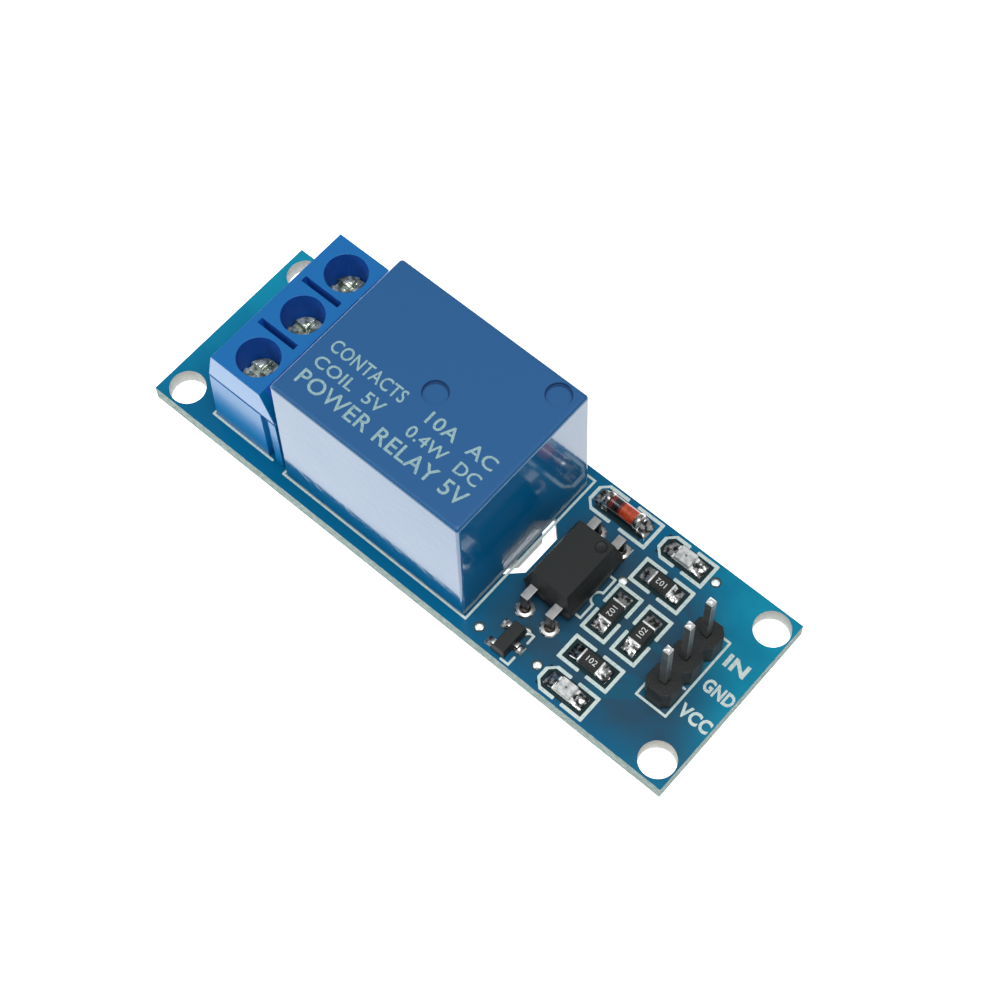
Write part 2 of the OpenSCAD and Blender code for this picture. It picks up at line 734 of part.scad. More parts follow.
module armature() {
    color([0.66, 0.66, 0.68]) at_board([relay_x, relay_shift_y])
        block(armature_x, hinge_x + yoke_t, -yoke_w / 2, yoke_w / 2, armature_z, blade_z);
}

// The spring strip: over the armature, narrow to the contact, and down behind
// the yoke.
module contact_blade() {
    back = hinge_x + yoke_t;
    wide = leaf_w / 2;
    neck = neck_w / 2;
    color([0.85, 0.62, 0.3]) at_board([relay_x, relay_shift_y]) difference() {
        union() {
            block(armature_x, back + leaf_t, -wide, wide, blade_z, blade_z + leaf_t);
            block(contact_x - tongue_w / 2, armature_x, -neck, neck, blade_z, blade_z + leaf_t);
            block(back, back + leaf_t, -wide, wide, armature_z - neck_w, blade_z + leaf_t);
        }
        translate([contact_x, 0, blade_z - cut]) cylinder(d = rivet_d, h = 2 * cut + leaf_t, $fn = 24);
    }
}

module moving_contact() {
    color([0.85, 0.85, 0.83]) at_board([relay_x + contact_x, relay_shift_y]) {
        translate([0, 0, blade_z - rivet_h]) cylinder(d = contact_d, h = rivet_h);
        translate([0, 0, blade_z]) cylinder(d = rivet_d, h = leaf_t, $fn = 24);
        translate([0, 0, blade_z + leaf_t]) cylinder(d = contact_d, h = rivet_h);
    }
}

// A fixed contact on the +Y side: a flat pin, a strip up the side, and a
// tongue at tongue_z that reaches over the middle. Its rivet stands at rivet_z.
module fixed_contact(tongue_z, rivet_z) {
    w = tongue_w / 2;
    outer = side_pin_y + blade_t / 2;
    block(-w, w, outer - blade_t, outer, works_z, tongue_z + tongue_t);
    block(-w, w, -w, outer, tongue_z, tongue_z + tongue_t);
    translate([0, 0, rivet_z]) cylinder(d = contact_d, h = rivet_h);
}

module open_contact() {
    color([0.8, 0.65, 0.35]) {
        at_board([relay_x + contact_x, relay_shift_y]) mirror([0, 1, 0])
            fixed_contact(open_z - rivet_h - tongue_t, open_z - rivet_h);
        through_pin(contact_places[0], board_t + works_z);
    }
}

module closed_contact() {
    color([0.8, 0.65, 0.35]) {
        at_board([relay_x + contact_x, relay_shift_y]) fixed_contact(closed_z + rivet_h, closed_z);
        through_pin(contact_places[1], board_t + works_z);
    }
}

// ---- Optocoupler ----

// The widest outline is at opto_mid. The faces draw in above and below it.
function opto_section(w, draft) = let (top = opto_standoff + opto_h)
    [[opto_foot - w / 2, opto_standoff], [-w / 2, opto_mid], [draft - w / 2, top],
        [w / 2 - draft, top], [w / 2, opto_mid], [w / 2 - opto_foot, opto_standoff]];

module optocoupler_body() {
    dot_r = 0.5;
    dot_in = 0.25;
    dot_x = opto_w / 2 - opto_draft_x - dot_in - dot_r;
    dot_y = opto_l / 2 - opto_draft_y - dot_in - dot_r;
    color([0.16, 0.17, 0.17]) difference() {
        at_board([opto_x, opto_shift_y]) difference() {
            intersection() {
                along_y(opto_l, opto_section(opto_w, opto_draft_x));
                along_x(opto_w, opto_section(opto_l, opto_draft_y));
            }
            translate([dot_x, dot_y, opto_standoff + opto_h - mark_depth / 2])
                cylinder(r = dot_r, h = cut, $fn = 32);
        }
        for (i = [0 : 3]) lead_shoulder(i);
    }
}

// The wide part of a lead: from inside the body to the row, then down.
module lead_shoulder(i) {
    reach = (opto_row - opto_l) / 2 + 0.5;
    drop = 1.6;
    half = lead_t / 2;
    at_board(opto_places[i]) mirror([0, i < 2 ? 0 : 1, 0]) {
        block(-shoulder_w / 2, shoulder_w / 2, -half, reach, opto_mid - half, opto_mid + half);
        slab(shoulder_w, lead_t, opto_mid - drop, opto_mid);
    }
}

module optocoupler_lead(i) {
    color([0.78, 0.78, 0.76]) {
        lead_shoulder(i);
        through_pin(opto_places[i], board_t + opto_mid);
    }
}

// ---- Transistor ----

module gull_places() {
    for (y = [-gull_y, gull_y]) translate([-transistor_w / 2, y, 0]) children();
    translate([transistor_w / 2, 0, 0]) mirror([1, 0, 0]) children();
}

function transistor_section(w) = let (foot = 0.1, draft = 0.12)
    [[-w / 2, foot], [-w / 2, transistor_h / 2], [draft - w / 2, transistor_h],
        [w / 2 - draft, transistor_h], [w / 2, transistor_h / 2], [w / 2, foot]];

module transistor_body() {
    color([0.14, 0.15, 0.15]) on_pads(transistor_at) intersection() {
        along_y(transistor_l, transistor_section(transistor_w));
        along_x(transistor_w, transistor_section(transistor_l));
    }
}

module transistor_leads() {
    t = 0.13;
    high = transistor_h / 2;
    bend = 0.2;
    color([0.78, 0.78, 0.76]) on_pads(transistor_at) gull_places()
        along_y(gull_w, [[0, high - t], [-bend, high - t], [-bend, 0], [-gull_l, 0],
            [-gull_l, t], [-bend - t, t], [-bend - t, high], [0, high]]);
}

// ---- Diode ----

module diode_round(x0, x1, d) {
    on_pads(diode_at) translate([x0, 0, diode_d / 2]) rotate([0, 90, 0]) cylinder(d = d, h = x1 - x0);
}

module diode_glass() {
    glass = diode_l / 2 - diode_cap;
    color([0.8, 0.25, 0.1]) diode_round(-glass, glass, diode_d - 0.1);
}

module diode_cap_1() {
    color([0.8, 0.8, 0.8]) diode_round(-diode_l / 2, diode_cap - diode_l / 2, diode_d);
}

module diode_cap_2() {
    color([0.8, 0.8, 0.8]) diode_round(diode_l / 2 - diode_cap, diode_l / 2, diode_d);
}

// ---- Signal lamps and resistors ----

module lamp_carrier(place) {
    color([0.9, 0.9, 0.88]) on_pads(place) difference() {
        slab(chip_l, chip_w, 0, carrier_t);
        for (s = [-1, 1]) translate([s * chip_l / 2, 0, -cut]) cylinder(d = 0.5, h = 2 * cut, $fn = 24);
    }
}

module lamp_lens(place) {
    l = chip_l / 2 - chip_end;
    draft = 0.08;
    color([0.9, 0.92, 0.92]) on_pads(place) translate([0, 0, carrier_t])
        along_y(chip_w, [[-l, 0], [draft - l, lens_h], [l - draft, lens_h], [l, 0]]);
}

module resistor(r) {
    color([0.12, 0.12, 0.12]) on_pads(r, r[2]) slab(chip_l - 2 * chip_end, chip_w, 0, chip_h);
}

module resistor_ends(r) {
    color([0.85, 0.85, 0.84]) on_pads(r, r[2]) difference() {
        slab(chip_l, chip_w, 0, chip_h);
        slab(chip_l - 2 * chip_end, 2 * chip_w, -cut, chip_h + cut);
    }
}

// ---- Header ----

module header_strip() {
    x = strip_d / 2;
    y = pin_pitch / 2;
    c = strip_corner;
    color([0.13, 0.13, 0.13]) difference() {
        for (p = header_places) at_board(p) linear_extrude(strip_h)
            polygon([[-x, c - y], [-x, y - c], [c - x, y], [x - c, y],
                [x, y - c], [x, c - y], [x - c, -y], [c - x, -y]]);
        for (p = header_places) through_pin(p, board_t + strip_h + cut);
    }
}

// A square pin with its tip cut on four sides.
module header_pin(p) {
    top = board_t + strip_h + pin_reach;
    w = pin_w / 2;
    tip = 0.18;
    side = [[-w, -tail_l], [-w, top - tip], [tip - w, top], [w - tip, top], [w, top - tip], [w, -tail_l]];
    color([0.85, 0.85, 0.83]) translate([p[0], p[1], 0]) intersection() {
        along_y(pin_w, side);
        along_x(pin_w, side);
    }
}

circuit_board();
silkscreen();
solder_pads();
solder_joints();
terminal_housing();
terminal_clamp(clamp_places[0]);  // terminal_clamp_1
terminal_clamp(clamp_places[1]);  // terminal_clamp_2
terminal_clamp(clamp_places[2]);  // terminal_clamp_3
wire_guard(clamp_places[0]);  // wire_guard_1
wire_guard(clamp_places[1]);  // wire_guard_2
wire_guard(clamp_places[2]);  // wire_guard_3
clamp_screw(clamp_places[0]);  // clamp_screw_1
clamp_screw(clamp_places[1]);  // clamp_screw_2
clamp_screw(clamp_places[2]);  // clamp_screw_3
relay_case();
relay_base();
coil_bobbin();
coil_winding();
coil_core();
coil_pins();
yoke();
armature();
contact_blade();
moving_contact();
open_contact();
closed_contact();
optocoupler_body();
optocoupler_lead(0);  // optocoupler_lead_1
optocoupler_lead(1);  // optocoupler_lead_2
optocoupler_lead(2);  // optocoupler_lead_3
optocoupler_lead(3);  // optocoupler_lead_4
transistor_body();
transistor_leads();
diode_glass();
diode_cap_1();
diode_cap_2();
lamp_carrier(lamps[0]);  // power_lamp_carrier
lamp_lens(lamps[0]);  // power_lamp_lens
lamp_carrier(lamps[1]);  // relay_lamp_carrier
lamp_lens(lamps[1]);  // relay_lamp_lens
resistor(resistors[0]);  // resistor_1
resistor(resistors[1]);  // resistor_2
resistor(resistors[2]);  // resistor_3
resistor(resistors[3]);  // resistor_4
resistor_ends(resistors[0]);  // resistor_ends_1
resistor_ends(resistors[1]);  // resistor_ends_2
resistor_ends(resistors[2]);  // resistor_ends_3
resistor_ends(resistors[3]);  // resistor_ends_4
header_strip();
header_pin(header_places[0]);  // header_pin_1
header_pin(header_places[1]);  // header_pin_2
header_pin(header_places[2]);  // header_pin_3
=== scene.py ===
import json
import math

import bpy
from mathutils import Matrix, Vector

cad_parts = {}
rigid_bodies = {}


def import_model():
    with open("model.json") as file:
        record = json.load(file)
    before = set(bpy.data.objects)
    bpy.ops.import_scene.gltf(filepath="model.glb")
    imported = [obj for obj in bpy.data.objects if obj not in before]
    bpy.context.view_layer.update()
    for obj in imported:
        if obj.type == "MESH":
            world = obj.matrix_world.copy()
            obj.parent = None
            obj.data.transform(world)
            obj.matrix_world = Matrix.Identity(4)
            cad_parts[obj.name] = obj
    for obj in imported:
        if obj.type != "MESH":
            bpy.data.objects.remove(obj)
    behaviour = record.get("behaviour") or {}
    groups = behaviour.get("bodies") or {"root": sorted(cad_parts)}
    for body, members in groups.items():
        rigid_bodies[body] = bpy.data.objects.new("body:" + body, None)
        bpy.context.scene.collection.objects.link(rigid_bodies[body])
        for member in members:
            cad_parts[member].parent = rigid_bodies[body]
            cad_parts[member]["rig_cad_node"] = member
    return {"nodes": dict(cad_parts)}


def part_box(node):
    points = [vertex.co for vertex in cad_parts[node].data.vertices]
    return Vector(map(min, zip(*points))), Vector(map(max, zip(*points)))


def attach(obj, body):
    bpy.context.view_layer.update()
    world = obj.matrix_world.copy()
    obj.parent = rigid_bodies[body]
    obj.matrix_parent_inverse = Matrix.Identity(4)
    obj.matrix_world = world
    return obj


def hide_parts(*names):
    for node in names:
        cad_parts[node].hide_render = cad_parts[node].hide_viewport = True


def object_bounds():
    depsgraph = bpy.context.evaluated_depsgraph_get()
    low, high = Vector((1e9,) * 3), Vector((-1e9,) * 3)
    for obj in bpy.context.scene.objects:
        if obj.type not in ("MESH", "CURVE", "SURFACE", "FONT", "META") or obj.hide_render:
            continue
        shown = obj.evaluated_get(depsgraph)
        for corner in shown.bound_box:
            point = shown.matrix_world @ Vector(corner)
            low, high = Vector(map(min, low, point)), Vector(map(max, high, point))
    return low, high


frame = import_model()
cad_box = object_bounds()
nodes = frame["nodes"]
bpy.context.scene.view_settings.view_transform = "Standard"

# ---- Circuit board ----
# A strip of glass-fibre laminate, 1.6 mm thick, that carries everything else.
# Both faces wear a glossy blue solder mask over the copper. The edges and the
# hole walls are bare laminate, pale and a little ragged where it was cut.

MM = 0.001
MASK_TEAL, MASK_BLUE, MASK_NAVY_SHADE = (0.004, 0.25, 0.38, 1), (0.0, 0.115, 0.245, 1), (0.022, 0.066, 0.108, 1)
TRACK_BLUE = (0.0, 0.12, 0.20, 1)
WINDOW_BLACK = (0.012, 0.03, 0.035, 1)
LAMINATE_EDGE, LAMINATE_GREEN = (0.36, 0.41, 0.39, 1), (0.14, 0.22, 0.19, 1)
LAMINATE_BORE = (0.62, 0.60, 0.56, 1)
# Half sides of the near-black windows painted round these parts.
WINDOW = Vector((2.35, 1.0))
IN_WINDOWS = ("resistor_1", "resistor_2", "resistor_3", "resistor_4",
              "power_lamp_lens", "relay_lamp_lens", "diode_glass")
# Tracks under the mask: the two pieces each one joins, and half its width in mm.
TRACKS = (
    ("header_pin_1", "relay_lamp_lens", 0.55),
    ("header_pin_1", "resistor_4", 0.25),
    ("header_pin_2", "resistor_3", 0.3),
    ("header_pin_3", "resistor_1", 0.25),
    ("header_pin_3", "power_lamp_lens", 0.25),
    ("resistor_2", "optocoupler_body", 0.25),
    ("transistor_body", "relay_lamp_lens", 0.3),
    ("diode_glass", "power_lamp_lens", 0.25),
)
# How far in from the board's sides a wall still counts as its edge, not as a hole's.
EDGE_X, EDGE_Y = 0.07, 0.12


def plug(socket, value):
    """Links a shade to a socket, or sets the socket to a plain value."""
    if isinstance(value, Shade):
        value.tree.links.new(value.out, socket)
    else:
        socket.default_value = value


class Shade:
    """One output in a material. Python arithmetic on it adds Math nodes."""

    def __init__(self, tree, out=None):
        self.tree, self.out = tree, out

    def node(self, kind, settings={}, sockets={}, out=0):
        """Adds a node: its settings first, then its sockets' values or links."""
        made = self.tree.nodes.new("ShaderNode" + kind)
        for key, value in settings.items():
            setattr(made, key, value)
        for key, value in sockets.items():
            plug(made.inputs[key], value)
        return Shade(self.tree, made.outputs[out])

    def math(self, operation, a, b=0.0):
        return self.node("Math", {"operation": operation}, {0: a, 1: b})

    def __add__(self, other):
        return self.math("ADD", self, other)

    def __sub__(self, other):
        return self.math("SUBTRACT", self, other)

    def __rsub__(self, other):
        return self.math("SUBTRACT", other, self)

    def __mul__(self, other):
        return self.math("MULTIPLY", self, other)

    def __gt__(self, other):
        return self.math("GREATER_THAN", self, other)

    def __lt__(self, other):
        return self.math("LESS_THAN", self, other)

    def __abs__(self):
        return self.math("ABSOLUTE", self)

    __radd__, __rmul__ = __add__, __mul__

    def either(self, other):
        return self.math("MAXIMUM", self, other)

    def axes(self):
        return [self.node("SeparateXYZ", {}, {0: self}, out=k) for k in range(3)]

    def noise(self, scale, detail=2.0):
        """Cloudy noise from 0 to 1, with scale features to the millimetre."""
        return self.node("TexNoise", {}, {"Vector": self, "Scale": scale, "Detail": detail})

    def rise(self, low, high):
        """0 below low, 1 above high, and smooth between them."""
        return self.node("MapRange", {"interpolation_type": "SMOOTHSTEP"}, {0: self, 1: low, 2: high})

    def tint(self, a, b):
        """Colour a where this is 0 and colour b where it is 1."""
        return self.node("Mix", {"data_type": "RGBA"}, {0: self, 6: a, 7: b}, out=2)

    def away_from(self, place):
        """How far each place is from this one."""
        return self.node("VectorMath", {"operation": "DISTANCE"}, {0: self, 1: place}, out="Value")

    def upward(self):
        """How far the surface faces up: 1 on top, 0 on a side, -1 underneath."""
        return self.node("TexCoord", out="Normal").axes()[2]

    def bump(self, depth):
        """A normal from this height, where 1 stands depth mm proud."""
        return self.node("Bump", {}, {"Strength": 1.0, "Distance": depth * MM, "Height": self})


def any_of(shades):
    """The highest of some shades at each place."""
    whole, *rest = shades
    for shade in rest:
        whole = whole.either(shade)
    return whole


def finish(name):
    """A new material and, to build its look on, places on the piece in mm."""
    made = bpy.data.materials.new(name)
    made.use_nodes = True
    coords = Shade(made.node_tree).node("TexCoord", out="Object")
    return made, coords.node("VectorMath", {"operation": "SCALE"}, {0: coords, "Scale": 1 / MM})


def feed(made, sockets):
    """Sets or links the sockets of a material's shader."""
    shader = made.node_tree.nodes["Principled BSDF"]
    for key, value in sockets.items():
        plug(shader.inputs[key], value)


def pick(*objs):
    """Deselects everything, then selects these objects, the first one active."""
    bpy.ops.object.select_all(action="DESELECT")
    for o in objs:
        o.select_set(True)
    bpy.context.view_layer.objects.active = objs[0]


def box_mm(node):
    """The low and high corners of a CAD node, in mm."""
    return [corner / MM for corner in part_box(node)]


def weld():
    """Joins the loose triangles of the mesh that is being edited."""
    bpy.ops.mesh.select_all(action="SELECT")
    bpy.ops.mesh.remove_doubles(threshold=0.001 * MM)


def merged(node):
    """A copy of a CAD node with its loose triangles joined into plain faces."""
    pick(nodes[node])
    bpy.ops.object.duplicate()
    piece = bpy.context.object
    piece.name = node + "_form"
    del piece["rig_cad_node"]
    bpy.ops.object.mode_set(mode="EDIT")
    weld()
    bpy.ops.mesh.dissolve_limited(angle_limit=math.radians(1))
    bpy.ops.object.mode_set(mode="OBJECT")
    return piece


def modify(piece, kind, **settings):
    """Adds a modifier, sets it and applies it."""
    pick(piece)
    made = piece.modifiers.new(kind.title(), kind)
    for key, value in settings.items():
        setattr(made, key, value)
    bpy.ops.object.modifier_apply(modifier=made.name)


def smooth(angle=35):
    """Shades the active piece smooth but for edges sharper than this, in degrees."""
    bpy.ops.object.shade_smooth_by_angle(angle=math.radians(angle))


def soften(piece, edge, steps=2):
    """Rounds a piece's sharp edges by edge mm and keeps its flat faces flat."""
    modify(piece, "BEVEL", width=edge * MM, segments=steps, limit_method="ANGLE",
           angle_limit=math.radians(35), use_clamp_overlap=True)
    smooth()
    modify(piece, "WEIGHTED_NORMAL", keep_sharp=True)
    return piece


def paint(made, *objs):
    """Gives objects a material in place of what they have."""
    for o in objs:
        for held in o.material_slots:
            held.material = made
        if not o.material_slots:
            o.data.materials.append(made)


def fit(piece, body, slot, made, *stands_for):
    """Finishes a piece: its material, its body, the CAD it stands for. Its slot is not used."""
    paint(made, piece)
    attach(piece, body)
    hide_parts(*stands_for)


def on_track(x, y, start, end, half):
    """1 on the straight track between the middles of two pieces, 0 off it."""
    (ax, ay), (bx, by) = (((lo + hi) / 2).xy for lo, hi in (box_mm(start), box_mm(end)))
    length = math.hypot(bx - ax, by - ay)
    ux, uy = (bx - ax) / length, (by - ay) / length
    px, py = x - ax, y - ay
    along = px * ux + py * uy
    along = along.math("MINIMUM", along.either(0.0), length)
    dx, dy = px - along * ux, py - along * uy
    return 1 - (dx * dx + dy * dy).rise(half ** 2, (half + 0.15) ** 2)


def in_window(x, y, part):
    """1 in the window round a part, which lies along the part's length."""
    lo, hi = box_mm(part)
    reach = WINDOW if hi.x - lo.x > hi.y - lo.y or part.endswith("lens") else WINDOW.yx
    return (abs(x - (lo.x + hi.x) / 2) < reach.x) * (abs(y - (lo.y + hi.y) / 2) < reach.y)


board_lo, board_hi = box_mm("circuit_board")
mask, at = finish("solder_mask")
x, y, z = at.axes()
facing = at.upward()
flat = abs(facing) > 0.8
# The mask is darkest among the small parts, partly from the copper under it and partly as painted shade
# between the parts, and greenest at the board's ends. The ends turn bluer towards the -Y side, which is
# painted shade.
near_middle = 1 - (abs(y + 1) + at.noise(0.25) * 2).rise(5.5, 10.5)
pour_and_shade = x.rise(4.5, 9) * (1 - (x + y * 0.6).rise(20.5, 27)) * near_middle
ends = (abs(x + at.noise(0.2) * 3) + y * 0.45).rise(17, 30).tint(MASK_BLUE, MASK_TEAL)
blue = pour_and_shade.tint(ends, MASK_NAVY_SHADE)
blue = (at.noise(0.35, 3).rise(0.35, 0.7) * 0.3).tint(blue, MASK_BLUE)
tracks = any_of([on_track(x, y, *track) for track in TRACKS])
blue = (tracks * pour_and_shade * 0.35).tint(blue, TRACK_BLUE)
windows = any_of([in_window(x, y, part) for part in IN_WINDOWS])
blue = (windows * (facing > 0.8)).tint(blue, WINDOW_BLACK)
fibre = at.node("Mapping", {}, {"Vector": at, "Scale": (1.2, 1.2, 6)}).noise(2.0, 4)
laminate = fibre.rise(0.35, 0.65).tint(LAMINATE_EDGE, LAMINATE_GREEN)
bore = (abs(x) < board_hi.x - EDGE_X) * (abs(y) < board_hi.y - EDGE_Y)
laminate = (bore * (1 - fibre * 0.3)).tint(laminate, LAMINATE_BORE)
feed(mask, {
    "Base Color": flat.tint(laminate, blue),
    "Roughness": 0.75 - flat * 0.57 + at.noise(6) * 0.06,
    "IOR": 1.33,
    "Normal": (fibre * (1 - flat) + at.noise(0.5) * flat * 0.1).bump(0.12),
})
fit(soften(merged("circuit_board"), 0.05, 1), "board", "board_mask", mask, "circuit_board")

# ---- Vias ----
# Each via is a drilled hole with a thin wall of tinned copper. The wall is bright
# inside and ends in a narrow rim on both faces, dark green under the mask. It is
# plated up in the bare board, so nothing holds it but its own rims.

VIA_PLACES = ((7.515, -7.665), (10.615, -5.555), (13.075, -7.165), (13.57, 2.705), (19.225, 7.365))
VIA_R, VIA_WALL, VIA_RIM_R, VIA_PROUD = 0.35, 0.03, 0.47, 0.015
# How far down the wall from each face the dark green reaches. On the rims it is the mask; down the wall
# it is painted shade in the mouth of the hole.
VIA_SHADE_DEPTH = 0.25
VIA_BRIGHT, VIA_GREEN_AND_SHADE = (0.92, 0.92, 0.90, 1), (0.05, 0.09, 0.08, 1)
plated, at = finish("via_plating")
z = at.axes()[2]
# Dark green on the rims under the mask and, as painted shade, on the wall near each face.
rim_and_shade = abs(z - (board_lo.z + board_hi.z) / 2) > (board_hi.z - board_lo.z) / 2 - VIA_SHADE_DEPTH
feed(plated, {
    "Base Color": rim_and_shade.tint(VIA_BRIGHT, VIA_GREEN_AND_SHADE),
    "Roughness": at.noise(7) * 0.2 + 0.12,
    "Metallic": 1 - rim_and_shade * 0.5,
    "Normal": at.noise(5).bump(0.01),
})


def ring_stack(name, x, y, rings, sides=24):
    """A turned form: rings of (radius, z) in mm, joined in turn round one axis."""
    r, z = rings[0]
    bpy.ops.object.select_all(action="DESELECT")
    bpy.ops.mesh.primitive_circle_add(vertices=sides, radius=r * MM, location=(x * MM, y * MM, z * MM))
    turned = bpy.context.object
    turned.name = name
    bpy.ops.object.transform_apply(location=True, rotation=True, scale=True)
    bpy.ops.object.mode_set(mode="EDIT")
    for (r0, z0), (r1, z1) in zip(rings, rings[1:]):
        bpy.ops.mesh.extrude_region_move(TRANSFORM_OT_translate={"value": (0, 0, (z1 - z0) * MM)})
        share = r1 / r0
        bpy.ops.transform.resize(value=(share, share, 1), center_override=(x * MM, y * MM, z1 * MM))
    weld()
    bpy.ops.mesh.normals_make_consistent(inside=False)
    bpy.ops.object.mode_set(mode="OBJECT")
    return turned


def join(name, objs):
    """One piece of many."""
    pick(*objs)
    bpy.ops.object.join()
    whole = bpy.context.object
    whole.name = name
    return whole


top, low = board_hi.z, board_lo.z
via_rings = [
    (VIA_R, low), (VIA_R, low - VIA_PROUD), (VIA_RIM_R, low - VIA_PROUD), (VIA_RIM_R, low),
    (VIA_R + VIA_WALL, low), (VIA_R + VIA_WALL, top), (VIA_RIM_R, top), (VIA_RIM_R, top + VIA_PROUD),
    (VIA_R, top + VIA_PROUD), (VIA_R, low)]
vias = join("via_rims", [ring_stack("via", *place, via_rings) for place in VIA_PLACES])
smooth()
fit(vias, "board", "solder", plated)

# ---- Printed marks and letters ----
# Pale epoxy ink, screened on to the mask as outlines, brackets and the names of
# the three control pins. The ink is matt, uneven and slightly see-through at
# its edges.

INK, INK_THIN = (0.60, 0.69, 0.65, 1), (0.40, 0.55, 0.57, 1)
# The capitals of this face are this share of its size.
CAPITAL = 0.69
NAME_H, NAME_WEIGHT = 1.22, 0.065
# The pin each name stands by, the name, its length, how far it stays from the
# board's end, and how far it is printed off the pin's line.
NAMES = (("header_pin_1", "VCC", 2.9, 0.12, -0.2), ("header_pin_2", "GND", 2.8, 0.1, 0.1),
         ("header_pin_3", "IN", 2.0, 0.85, 0.2))
ink, at = finish("printed_ink")
feed(ink, {
    "Base Color": at.noise(5, 4).rise(0.3, 0.55).tint(INK_THIN, INK),
    "Roughness": at.noise(9) * 0.2 + 0.5,
    "Normal": at.noise(9).bump(0.01),
})
paint(ink, nodes["silkscreen"])


def letters(name, words, middle, base, width, height, turn=0.0, thick=0.04, weight=0.0):
    """Raised lettering of a given size in mm. Its weight is how far its lines swell."""
    bpy.ops.object.select_all(action="DESELECT")
    bpy.ops.object.text_add(location=(0, 0, 0))
    text = bpy.context.object
    text.data.body = words
    text.data.size = height * MM / CAPITAL
    text.data.space_character = 1.05
    text.data.offset = weight * MM
    text.data.extrude = thick / 2 * MM
    text.data.resolution_u = 3
    text.data.align_x, text.data.align_y = "CENTER", "CENTER"
    bpy.ops.object.convert(target="MESH")
    text = bpy.context.object
    text.name = name
    text.scale = (width * MM / text.dimensions.x, height * MM / text.dimensions.y, 1)
    text.rotation_euler = (0, 0, math.radians(turn))
    text.location = (middle[0] * MM, middle[1] * MM, (base + thick / 2) * MM)
    bpy.ops.object.transform_apply(location=True, rotation=True, scale=True)
    return text


printed = []
for pin, words, width, inset, offset in NAMES:
    lo, hi = box_mm(pin)
    middle = (board_hi.x - inset - width / 2, (lo.y + hi.y) / 2 + offset)
    printed.append(letters("name", words, middle, top, width, NAME_H, weight=NAME_WEIGHT))
fit(join("pin_names", printed), "board", "print", ink)

# ---- Solder ----
# Tin-lead on the bare copper. Each pad has a thin rough coat of it. Each end of
# a chip wears a lumpy, mirror-bright heap that wicked up it, and each pin that
# goes through the board ends in a smooth hollow-sided cone underneath.

TIN_BRIGHT, TIN_DARK = (0.62, 0.62, 0.61, 1), (0.05, 0.05, 0.05, 1)
solder, at = finish("bright_solder")
feed(solder, {
    "Base Color": at.noise(2.2, 3).rise(0.4, 0.62).tint(TIN_DARK, TIN_BRIGHT),
    "Roughness": at.noise(5) * 0.2 + 0.2,
    "Metallic": 1.0,
    "Normal": at.noise(2.0).bump(0.035),
})
paint(solder, nodes["solder_pads"])
lumps = bpy.data.textures.new("solder_lumps", "CLOUDS")
lumps.noise_scale = 0.5 * MM
LUMP = 0.13
# How far a cone's foot stands out from its pin.
CONE_FOOT = 0.32
# A heap starts as a block this much wider than its box and this many times as
# high. Its top and its waist then fall by these shares of its height.
HEAP_WIDER, HEAP_HIGHER, TOP_FALL, WAIST_FALL, FALL_CURVE = 0.16, 1.25, 0.75, 0.35, 0.7
# What lies closer than this to the foot or the crest of a heap belongs to it.
HEAP_NEAR = 0.02


def cone(lo, hi):
    """The hollow-sided cone that fills a plain solder cone's box."""
    x, y = ((lo + hi) / 2).xy
    foot = (hi.x - lo.x) / 2
    pin = foot - CONE_FOOT
    return ring_stack("cone", x, y, [
        (pin * 0.6, lo.z), (pin * 0.75, lo.z + 0.1), (pin + 0.02, lo.z + 0.42),
        (pin + 0.12, hi.z - 0.22), (foot, hi.z), (pin * 0.6, hi.z), (pin * 0.6, lo.z)], 20)


def heap(lo, hi, lean):
    """A lumpy heap in a plain heap's box. It is highest on the side it leans to."""
    mid, rise = (lo + hi) / 2, hi.z - lo.z
    if abs(lean.x) > abs(lean.y):
        along, span = Vector((math.copysign(1, lean.x), 0)), hi.x - lo.x
    else:
        along, span = Vector((0, math.copysign(1, lean.y))), hi.y - lo.y
    bpy.ops.object.select_all(action="DESELECT")
    bpy.ops.mesh.primitive_cube_add(size=1, location=mid * MM)
    made = bpy.context.object
    made.scale = Vector((hi.x - lo.x + HEAP_WIDER, hi.y - lo.y + HEAP_WIDER, rise * HEAP_HIGHER)) * MM
    bpy.ops.object.transform_apply(location=True, rotation=True, scale=True)
    bpy.ops.object.mode_set(mode="EDIT")
    bpy.ops.mesh.subdivide(number_cuts=3)
    bpy.ops.object.mode_set(mode="OBJECT")
    for v in made.data.vertices:
        height = v.co.z / MM
        fall = min(1, max(0, 0.5 - (v.co / MM - mid).xy.dot(along) / span))
        if height > mid.z:
            v.co.z -= rise * TOP_FALL * fall ** FALL_CURVE * MM
        elif height > lo.z + HEAP_NEAR:
            v.co.z -= rise * WAIST_FALL * fall * MM
    modify(made, "SUBSURF", levels=2, render_levels=2)
    modify(made, "DISPLACE", texture=lumps, texture_coords="LOCAL", strength=LUMP * MM, mid_level=0.5)
    return made


pick(nodes["solder_joints"])
bpy.ops.object.duplicate()
del bpy.context.object["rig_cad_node"]
bpy.ops.object.mode_set(mode="EDIT")
weld()
bpy.ops.mesh.separate(type="LOOSE")
bpy.ops.object.mode_set(mode="OBJECT")
joints = []
for plain in list(bpy.context.selected_objects):
    spots = [v.co / MM for v in plain.data.vertices]
    lo, hi = (Vector(end(p[k] for p in spots) for k in range(3)) for end in (min, max))
    if hi.z < 0:
        joints.append(cone(lo, hi))
    else:
        crest = [p - (lo + hi) / 2 for p in spots if p.z > hi.z - HEAP_NEAR]
        joints.append(heap(lo, hi, sum(crest, Vector())))
    bpy.data.objects.remove(plain)
joints = join("solder_heaps", joints)
smooth(50)
fit(joints, "board", "solder", solder, "solder_joints")

